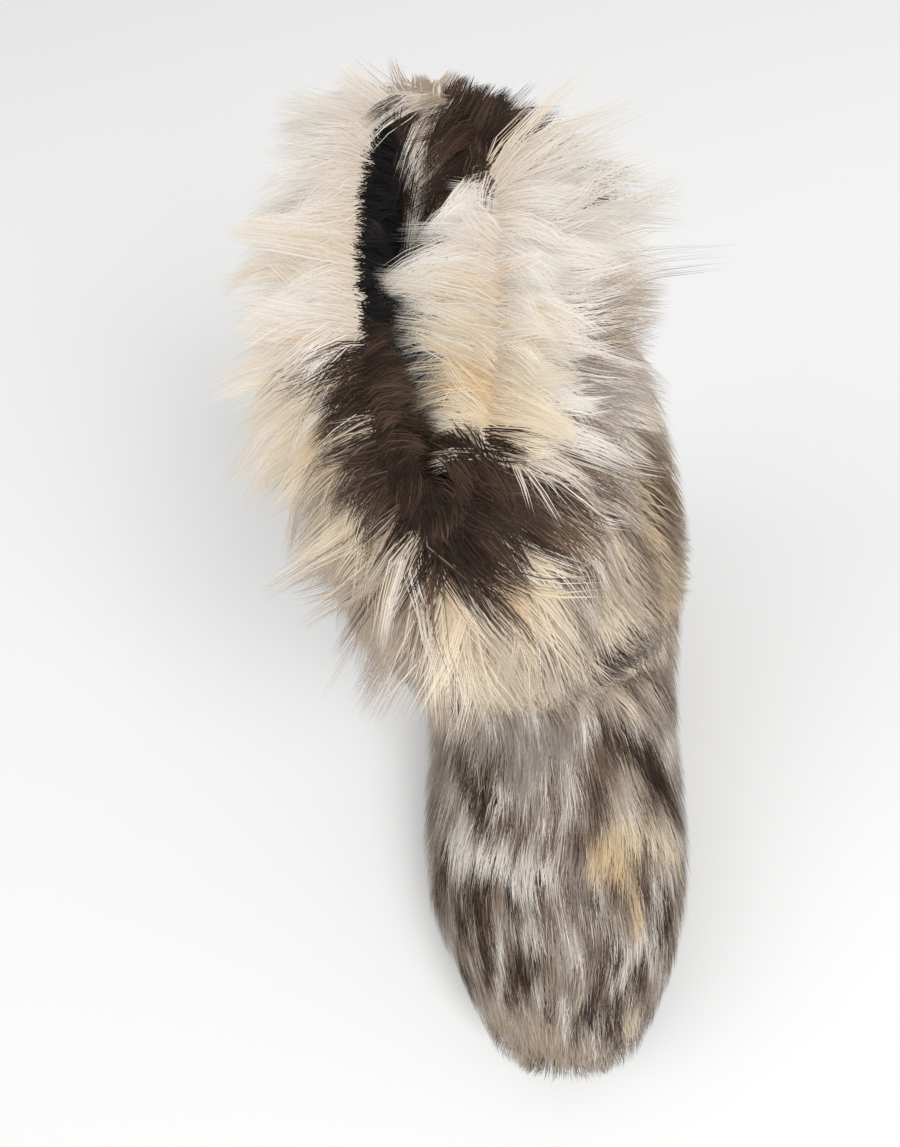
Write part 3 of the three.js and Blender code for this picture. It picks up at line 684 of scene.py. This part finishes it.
def foot_pile(s, angle):
    """The height of the foot's pile."""
    return FOOT_PILE_HEIGHT + 0 * s


def foot_density(s, angle, points):
    """Where the foot's hair grows, and how much closer at the toe."""
    return outside_sole(s, angle, points) * mix(2.4, 1, smooth(s - 0.5))


def outside_sole(s, angle, points):
    """No hair grows under the sole."""
    _, outward, _ = body_directions(s, angle, 0 * s)
    return np.where((outward[..., 2] < -0.45) | (points[..., 2] < SOLE_TOP + 1.5), 0.0, 1.0)


def shaft_length(s, angle):
    """The length of the shaft's hair."""
    return mix(30, 38, smooth((s - 10) / 5))


def shaft_rise(s, angle):
    """How high the shaft's hair stands, most in the bend over the instep."""
    bend = np.exp(-(((s - 9.5) / 1.8) ** 2)) * smooth(np.cos(angle) * 1.5)
    return mix(18, 25, smooth((s - 9) / 5)) + 3 * bend


def shaft_root(s, angle):
    """Where the shaft's hair starts, inside its pile."""
    return mix(5, 8, smooth((s - 9) / 4))


def shaft_pile(s, angle):
    """The height of the shaft's pile."""
    return mix(7, 11, smooth((s - 9) / 4))


def shaft_front(s, angle, points):
    """The front half of the shaft."""
    return outside_sole(s, angle, points) * (np.cos(angle) > 0)


def shaft_back(s, angle, points):
    """The back half of the shaft."""
    return outside_sole(s, angle, points) * (np.cos(angle) <= 0)


PARTING_OVERLAP = 0.11  # how far past the parting the hairs of one side still grow, as a share
HEM_LENGTH = 27  # of the hairs at the outer hem, which hide it, in millimetres
DARK_LENGTH = 0.55  # how long the dark hairs of the outer side are, beside the pale ones
# The set of the cuff's hair by the angle round it: its length outside and inside in millimetres, the way
# that it points outside and inside in degrees from +X to +Y, where it parts between the outer hem, 0, and
# the inner, 1, and how it droops
STYLE_COLUMNS = ("outer", "inner", "outer_bearing", "inner_bearing", "parting", "droop")
CUFF_STYLE = {
    -180: (13, 42, 100, -122, 0.52, 0.35),
    -165: (26, 32, 150, -105, 0.54, 0.35),
    -150: (42, 16, 174, -60, 0.57, 0.35),
    -135: (46, 10, 178, -40, 0.6, 0.35),
    -122: (31, 8, 184, -25, 0.61, 0.4),
    -110: (40, 8, 186, -20, 0.61, 0.4),
    -70: (37, 9, 198, 10, 0.61, 0.4),
    -50: (28, 14, 214, 30, 0.57, 0.45),
    -30: (24, 16, 232, 50, 0.52, 0.5),
    -15: (28, 18, 250, 65, 0.5, 0.5),
    0: (34, 20, 270, 80, 0.49, 0.5),
    30: (30, 20, 300, 125, 0.5, 0.5),
    45: (27, 24, 312, 150, 0.52, 0.5),
    60: (27, 34, 325, 168, 0.54, 0.45),
    82: (24, 43, 342, 182, 0.56, 0.4),
    92: (26, 26, 350, 190, 0.56, 0.4),
    98: (32, 15, 364, 200, 0.56, 0.35),
    105: (60, 34, 374, 214, 0.56, 0.2),
    112: (38, 36, 380, 220, 0.56, 0.3),
    120: (32, 32, 390, 222, 0.56, 0.3),
    140: (30, 32, 402, 228, 0.54, 0.3),
    160: (18, 36, 430, 236, 0.53, 0.35),
    180: (13, 42, 460, 238, 0.52, 0.35),
}


def cuff_style(angle, column):
    """A column of the cuff's set, at angles round it."""
    values = [row[STYLE_COLUMNS.index(column)] for row in CUFF_STYLE.values()]
    return np.interp(angle, np.radians(list(CUFF_STYLE)), values)


def cuff_hairs(inner, count, width, rings, rng):
    """The long hair of the cuff: it falls outwards on the outer side and into the mouth on the inner."""
    side = "inner" if inner else "outer"
    way = 1 if inner else -1

    def past_parting(q, angle):
        return (q - cuff_style(angle, "parting")) * way

    def density(q, angle, points):
        past = past_parting(q, angle)
        return np.where(past > -PARTING_OVERLAP, 1 + 2.5 * np.exp(-((past / 0.08) ** 2)), 0.0)

    q, angle = roots(cuff, (0.02, 0.92), count, density, rng)
    past = past_parting(q, angle)
    chance = rng.random(count)
    over = 3.0 * np.exp(-((past / 0.06) ** 2)) * rng.random(count)
    origin = cuff(q, angle, over - 1.5)
    lock = locks_of(origin, CUFF_LOCKS, rng)
    locks = lock.max() + 1
    outward = cuff_outward(q, angle)
    bearing = np.radians(cuff_style(angle, side + "_bearing"))
    bearing = bearing + 0.4 * swirl(origin, 26, 31) + 0.3 * swirl(origin, 11, 32)
    bearing = bearing + rng.normal(0, 0.16, locks)[lock] + rng.normal(0, 0.06, count)
    level = np.stack([np.cos(bearing), np.sin(bearing), np.zeros(count)], -1)
    sideways = np.stack([-np.sin(bearing), np.cos(bearing), np.zeros(count)], -1)
    curl = 0.5 * swirl(origin, 17, 33) + rng.normal(0, 0.2, locks)[lock] + rng.normal(0, 0.08, count)
    start = unit(outward * 0.5 + level * 0.85 + rng.normal(0, 0.1, (count, 3)))
    mood = 0.3 * rng.random(locks)[lock] + 0.7 * chance
    patches = INNER_PATCHES if inner else OUTER_PATCHES
    colour = coat_colour(origin, q, angle, patches, mood, CUFF_BASE)
    reach = cuff_style(angle, side) * mix(0.6, 1.1, rng.random(count) ** 0.7)
    if not inner:
        reach = reach * mix(DARK_LENGTH, 1, smooth(np.sqrt(np.mean(colour, -1)) / 0.6))
    reach = reach * mix(0.82, 1.12, rng.random(locks)[lock])
    reach = reach * mix(1, 0.75, smooth((0.25 - q) / 0.25))
    if not inner:
        hem = np.maximum(reach, HEM_LENGTH * mix(0.7, 1.1, rng.random(count)))
        reach = mix(reach, hem, smooth((0.36 - q) / 0.16))
    t = np.linspace(0, 1, rings)[None, :, None]
    droop = (cuff_style(angle, "droop") + 0.2 * inner) * mix(0.75, 1.25, rng.random(count))
    fall = np.array([0, 0, -1.0]) * droop[:, None] + rng.normal(0, 0.14, (locks, 3))[lock]
    bend = sideways[:, None] * curl[:, None, None] * (t**2 - 0.35 * t)
    paths = origin[:, None] + reach[:, None, None] * (start[:, None] * t + fall[:, None] * t**2 + bend)
    paths = gathered(paths, lock, CUFF_PULL, CUFF_SPREAD)
    widths = width * mix(0.7, 1.25, rng.random(count))
    ahead = unit(np.gradient(paths, axis=1))
    normals = outward[:, None] + np.array([0, 0, 0.6])
    normals = normals - ahead * np.sum(normals * ahead, -1, keepdims=True)
    shades = shaded(colour, rings, CUFF_ROOT_SHADE, rng.random(count), rng.random(locks)[lock])
    return strands(paths, unit(normals), widths, shades)


def cuff_under(columns=96, rows=40):
    """The dense pile of the cuff: a closed ring with the upper's wall inside it."""
    q = np.linspace(0, 1, rows)
    v = np.linspace(-math.pi, math.pi, columns, endpoint=False)
    qq, vv = np.meshgrid(q, v, indexing="ij")
    outer = cuff(qq, vv)
    steps = np.linspace(0, 1, 6)
    down = np.array([0.8, 0.02, -0.01, -0.01, 0.02, 0.99])
    away = np.array([-WALL - GAP, -WALL - GAP, -WALL + 1, -1, GAP, GAP])
    slot = []
    for d, o in zip(down, away):
        s = LAST - np.clip(d, 0, 1) * (LAST - CUFF_FROM)
        up, _, _ = body_directions(np.full_like(v, LAST), v, 0 * v)
        slot.append(body(np.full_like(v, s), v, np.full_like(v, o)) + up * max(0, -d) * CUFF_DROP)
    points = np.concatenate([outer.reshape(-1, 3), np.array(slot).reshape(-1, 3)])
    total = rows + len(steps)
    quads = wrapped_grid(total, columns)
    here = np.arange(columns)
    after = (here + 1) % columns
    top = (total - 1) * columns
    closing = np.stack([top + here, top + after, after, here], -1)
    quads = np.concatenate([quads, closing])
    place = np.concatenate([qq.ravel(), np.ones(len(steps) * columns)])
    turn = np.concatenate([vv.ravel(), np.tile(v, len(steps))])
    chance = lattice_noise(points, 2.5, 12)
    outside, inside = (coat_colour(points, place, turn, patches, chance, CUFF_BASE)
                       for patches in (OUTER_PATCHES, INNER_PATCHES))
    # The cuff's pile is darkened as painted shade under its hairs
    colour = np.where((place < cuff_style(turn, "parting"))[:, None], outside, inside) * CUFF_SHADE
    return skin(points, quads, colour)


# Materials

def new_material(name):
    """A material, its nodes and links, and its shader, already linked to the output."""
    m = bpy.data.materials.new(name)
    m.use_nodes = True
    m.node_tree.nodes.clear()
    nodes, links = m.node_tree.nodes, m.node_tree.links
    shader = nodes.new("ShaderNodeBsdfPrincipled")
    output = nodes.new("ShaderNodeOutputMaterial")
    links.new(shader.outputs[0], output.inputs[0])
    return m, nodes, links, shader


STREAKS_ACROSS = 1300  # noise cells over the baked picture
STREAKS_ALONG = 160


def hair_material():
    """Soft, slightly glossy hair, coloured hair by hair from the mesh, with finer streaks along it."""
    m, nodes, links, shader = new_material("fur hair")
    colour = nodes.new("ShaderNodeVertexColor")
    colour.layer_name = "Coat"
    place = nodes.new("ShaderNodeUVMap")
    place.uv_map = "OFBake"
    stretch = nodes.new("ShaderNodeMapping")
    stretch.inputs["Scale"].default_value = (STREAKS_ACROSS, STREAKS_ALONG, 1)
    noise = nodes.new("ShaderNodeTexNoise")
    noise.inputs["Scale"].default_value = 1
    noise.inputs["Detail"].default_value = 1
    shade = nodes.new("ShaderNodeMapRange")
    shade.inputs["From Min"].default_value = 0.3
    shade.inputs["From Max"].default_value = 0.7
    shade.inputs["To Min"].default_value = 0.8
    shade.inputs["To Max"].default_value = 1.08
    tint = nodes.new("ShaderNodeVectorMath")
    tint.operation = "SCALE"
    links.new(place.outputs["UV"], stretch.inputs["Vector"])
    links.new(stretch.outputs["Vector"], noise.inputs["Vector"])
    links.new(noise.outputs["Fac"], shade.inputs["Value"])
    links.new(colour.outputs["Color"], tint.inputs["Vector"])
    links.new(shade.outputs["Result"], tint.inputs["Scale"])
    links.new(tint.outputs["Vector"], shader.inputs["Base Color"])
    shader.inputs["Roughness"].default_value = 0.6
    shader.inputs["Specular IOR Level"].default_value = 0.2
    return m


def cloth_material(name, colour, scale, depth):
    """Matt knitted cloth with a fine bump and a little sheen."""
    m, nodes, links, shader = new_material(name)
    place = nodes.new("ShaderNodeTexCoord")
    noise = nodes.new("ShaderNodeTexNoise")
    noise.inputs["Scale"].default_value = scale
    noise.inputs["Detail"].default_value = 4
    links.new(place.outputs["Object"], noise.inputs["Vector"])
    ramp = nodes.new("ShaderNodeValToRGB")
    ramp.color_ramp.elements[0].color = (*linear(np.array(colour) * 0.6), 1)
    ramp.color_ramp.elements[1].color = (*linear(np.array(colour) * 1.3), 1)
    links.new(noise.outputs["Fac"], ramp.inputs["Fac"])
    links.new(ramp.outputs["Color"], shader.inputs["Base Color"])
    bump = nodes.new("ShaderNodeBump")
    bump.inputs["Strength"].default_value = 0.6
    bump.inputs["Distance"].default_value = depth
    links.new(noise.outputs["Fac"], bump.inputs["Height"])
    links.new(bump.outputs["Normal"], shader.inputs["Normal"])
    shader.inputs["Roughness"].default_value = 0.95
    shader.inputs["Sheen Weight"].default_value = 0.4
    return m


def rubber_material():
    """Matt black rubber with a fine grain."""
    m, nodes, links, shader = new_material("sole rubber")
    place = nodes.new("ShaderNodeTexCoord")
    noise = nodes.new("ShaderNodeTexNoise")
    noise.inputs["Scale"].default_value = 900
    links.new(place.outputs["Object"], noise.inputs["Vector"])
    bump = nodes.new("ShaderNodeBump")
    bump.inputs["Strength"].default_value = 0.3
    bump.inputs["Distance"].default_value = 0.0003
    links.new(noise.outputs["Fac"], bump.inputs["Height"])
    links.new(bump.outputs["Normal"], shader.inputs["Normal"])
    shader.inputs["Base Color"].default_value = (0.012, 0.011, 0.01, 1)
    shader.inputs["Roughness"].default_value = 0.7
    return m


def dress(ob, material):
    """Gives a piece its material."""
    ob.data.materials.clear()
    ob.data.materials.append(material)
    return ob


# The boot's pieces

rng = np.random.default_rng(SEED)
hair = hair_material()


def fur_piece(name, part, node):
    """A piece of fur in place of a node's plain solid."""
    ob = mesh_object(name, *part)
    dress(ob, hair)
    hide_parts(node)
    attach(ob, "root")
    return ob


def hair_piece(name, part, node):
    """Hairs cast no shadow, as fur scatters light: the pile under them does."""
    fur_piece(name, part, node).visible_shadow = False


# Of each coat: the length, rise and root of its hairs, their width in millimetres, how they wave, and
# how light a pale hair is kept at its root, where its colour darkens as painted shade and as the hair's own
# darker root
FOOT_STYLE = (foot_length, foot_rise, foot_root, 0.45, 0.1, 0.5)
SHAFT_STYLE = (shaft_length, shaft_rise, shaft_root, 0.55, 0.2, 0.65)
CUFF_WIDTH = 0.44
# How light a pale hair of the cuff is kept at its root: painted shade, partly the hair's own darker root
CUFF_ROOT_SHADE = 0.86
FOOT_HAIRS = 18500
SHAFT_FRONT_HAIRS = 12500
SHAFT_BACK_HAIRS = 8500
CUFF_HAIRS = 10500  # in each of its three pieces
COAT_RINGS = 3  # points along a lying hair
CUFF_RINGS = 4
FOOT_FROM = 0.35  # the section that the foot's fur starts at
SEAM_GAP = 0.02  # between the piles of the foot and the shaft, in sections
UNDER_CUFF = 0.4  # how far the shaft's hair goes on under the cuff, in sections


def make_foot():
    pile = under_coat((FOOT_FROM, SEAM - SEAM_GAP), foot_pile, FOOT_BASE, FOOT_PATCHES)
    stretch = (FOOT_FROM, SEAM)
    hairs = coat(stretch, FOOT_HAIRS, FOOT_BASE, FOOT_PATCHES, FOOT_STYLE, COAT_RINGS, foot_density, rng)
    fur_piece("foot_fur_pile", pile, "fur_foot")
    hair_piece("foot_fur_hair", hairs, "fur_foot")


def make_shaft():
    pile = under_coat((SEAM + SEAM_GAP, CUFF_FROM), shaft_pile, SHAFT_BASE, SHAFT_PATCHES)
    fur_piece("shaft_fur_pile", pile, "fur_shaft")
    stretch = (SEAM, CUFF_FROM + UNDER_CUFF)
    for name, count, side in (
        ("shaft_fur_front", SHAFT_FRONT_HAIRS, shaft_front),
        ("shaft_fur_back", SHAFT_BACK_HAIRS, shaft_back),
    ):
        hairs = coat(stretch, count, SHAFT_BASE, SHAFT_PATCHES, SHAFT_STYLE, COAT_RINGS, side, rng)
        hair_piece(name, hairs, "fur_shaft")


# Soft folds of the slack lining: the place in sections and the angle of a fold's middle, how much it
# climbs along its length, its half length round, half width, and height in millimetres
LINING_FOLDS = [
    (12.6, 10, 0.4, 70, 0.32, 2.2), (13.7, -40, -0.5, 55, 0.3, 1.8), (13.5, 95, 0.6, 45, 0.28, 1.6),
    (14.8, 30, -0.6, 60, 0.3, 2.0), (15.6, -80, 0.5, 50, 0.3, 1.7), (15.3, 150, -0.5, 50, 0.3, 1.6),
    (16.6, 5, 0.5, 45, 0.26, 1.5), (16.9, 110, -0.4, 45, 0.26, 1.4), (16.8, -140, 0.4, 45, 0.26, 1.4),
]
LINING_FROM = 12.0
LINING_TO = 18.0
LINING_CLEAR = 0.15  # between the lining and the upper's wall, in millimetres
LINING_SKIN = 0.6
LINING_COLOUR = (0.16, 0.16, 0.18)
FOOTBED_COLOUR = (0.2, 0.19, 0.19)


def lining_fold(s, angle):
    """How far the folds stand in from the lining, in millimetres."""
    total = 0 * s
    for place, turn, climb, long, wide, high in LINING_FOLDS:
        away = ((np.degrees(angle) - turn + 180) % 360 - 180) / long
        across = (s - place - climb * away) / wide
        total = total + high * np.exp(-(across**2)) * smooth(1.4 * (1 - np.abs(away)))
    ends = smooth((s - LINING_FROM) / 0.5) * smooth((LINING_TO - s) / 0.5)
    return total * ends


def make_lining(material, columns=84, rows=54):
    """The lining, a thin closed sleeve that lies on the inner face of the upper's wall, with its folds."""
    u = np.linspace(LINING_FROM, LINING_TO, rows)
    v = np.linspace(-math.pi, math.pi, columns, endpoint=False)
    uu, vv = np.meshgrid(u, v, indexing="ij")
    near = body(uu, vv, 0 * uu - WALL - LINING_CLEAR)
    far = body(uu, vv, -WALL - LINING_SKIN - lining_fold(uu, vv))
    points, quads = closed_sleeve(near, far)
    colour = np.ones_like(points) * linear(LINING_COLOUR)
    ob = mesh_object("lining_folds", *skin(points, quads, colour))
    dress(ob, material)
    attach(ob, "root")


def make_cuff():
    fur_piece("cuff_fur_pile", cuff_under(), "fur_cuff")
    for name, inner in (("cuff_fur_low", False), ("cuff_fur_top", False), ("cuff_fur_inner", True)):
        hairs = cuff_hairs(inner, CUFF_HAIRS, CUFF_WIDTH, CUFF_RINGS, rng)
        hair_piece(name, hairs, "fur_cuff")


make_foot()
make_shaft()
make_cuff()
lining = cloth_material("black lining", LINING_COLOUR, scale=700, depth=0.0006)
make_lining(lining)

nodes = frame["nodes"]
dress(nodes["upper"], lining)
fleece = cloth_material("footbed fleece", FOOTBED_COLOUR, scale=500, depth=0.0012)
dress(nodes["insole"], fleece)
dress(nodes["outsole"], rubber_material())


# The floor, the light and the camera

FLOOR_REACH = 6.0  # half its width, in metres
FLOOR_COLOUR = (0.82, 0.82, 0.82, 1)
WORLD_LIGHT = 0.65
BOOT_CENTRE = (0, 0, 0.1)  # where the lights point, in metres


def make_floor():
    corners = [(x * FLOOR_REACH, y * FLOOR_REACH, 0) for x, y in ((-1, -1), (1, -1), (1, 1), (-1, 1))]
    me = bpy.data.meshes.new("floor")
    me.from_pydata(corners, [], [(0, 1, 2, 3)])
    floor = bpy.data.objects.new("floor", me)
    bpy.context.scene.collection.objects.link(floor)
    m, _, _, shader = new_material("pale floor")
    shader.inputs["Base Color"].default_value = FLOOR_COLOUR
    shader.inputs["Roughness"].default_value = 0.9
    me.materials.append(m)


def add_light(name, place, size, power):
    """A square light that faces the boot."""
    data = bpy.data.lights.new(name, "AREA")
    data.size = size
    data.energy = power
    ob = bpy.data.objects.new(name, data)
    bpy.context.scene.collection.objects.link(ob)
    ob.location = place
    ahead = Vector(BOOT_CENTRE) - Vector(place)
    ob.rotation_euler = ahead.to_track_quat("-Z", "Y").to_euler()


def make_world():
    world = bpy.data.worlds.new("studio")
    world.use_nodes = True
    background = world.node_tree.nodes["Background"]
    background.inputs[0].default_value = (1, 1, 1, 1)
    background.inputs[1].default_value = WORLD_LIGHT
    bpy.context.scene.world = world


# The photo's camera, fitted to the boot: its place, its tilt below the horizon and its focal length
CAMERA_PLACE = Vector((0.0253, -0.2608, 0.5501))
CAMERA_TILT = 63.0
FOCAL_PIXELS = 900.0
IMAGE_WIDTH, IMAGE_HEIGHT = 900, 1147
SENSOR = 36.0
BOOT_MIDDLE = (313, 568)  # of the boot in the photo, in its pixels
CLOSER = 1.15  # how much longer the lens is than the photo's, for the one boot


def make_camera():
    """The photo's camera, turned about its own place so that the one boot fills the frame."""
    data = bpy.data.cameras.new("camera")
    data.sensor_width = SENSOR
    data.lens = FOCAL_PIXELS * CLOSER / IMAGE_HEIGHT * SENSOR
    data.clip_start = 0.01
    camera = bpy.data.objects.new("camera", data)
    bpy.context.scene.collection.objects.link(camera)
    right, down = BOOT_MIDDLE[0] - IMAGE_WIDTH / 2, BOOT_MIDDLE[1] - IMAGE_HEIGHT / 2
    turn = Matrix.Rotation(math.radians(90 - CAMERA_TILT), 4, "X")
    turn @= Matrix.Rotation(-math.atan(right / FOCAL_PIXELS), 4, "Y")
    turn @= Matrix.Rotation(-math.atan(down / FOCAL_PIXELS), 4, "X")
    camera.matrix_world = Matrix.Translation(CAMERA_PLACE) @ turn
    bpy.context.scene.camera = camera


make_floor()
make_world()
add_light("key", (0.9, -0.9, 1.6), size=0.9, power=24)
add_light("fill", (-1.4, -0.6, 1.2), size=1.4, power=8)
make_camera()
bpy.context.scene.view_settings.view_transform = "Standard"
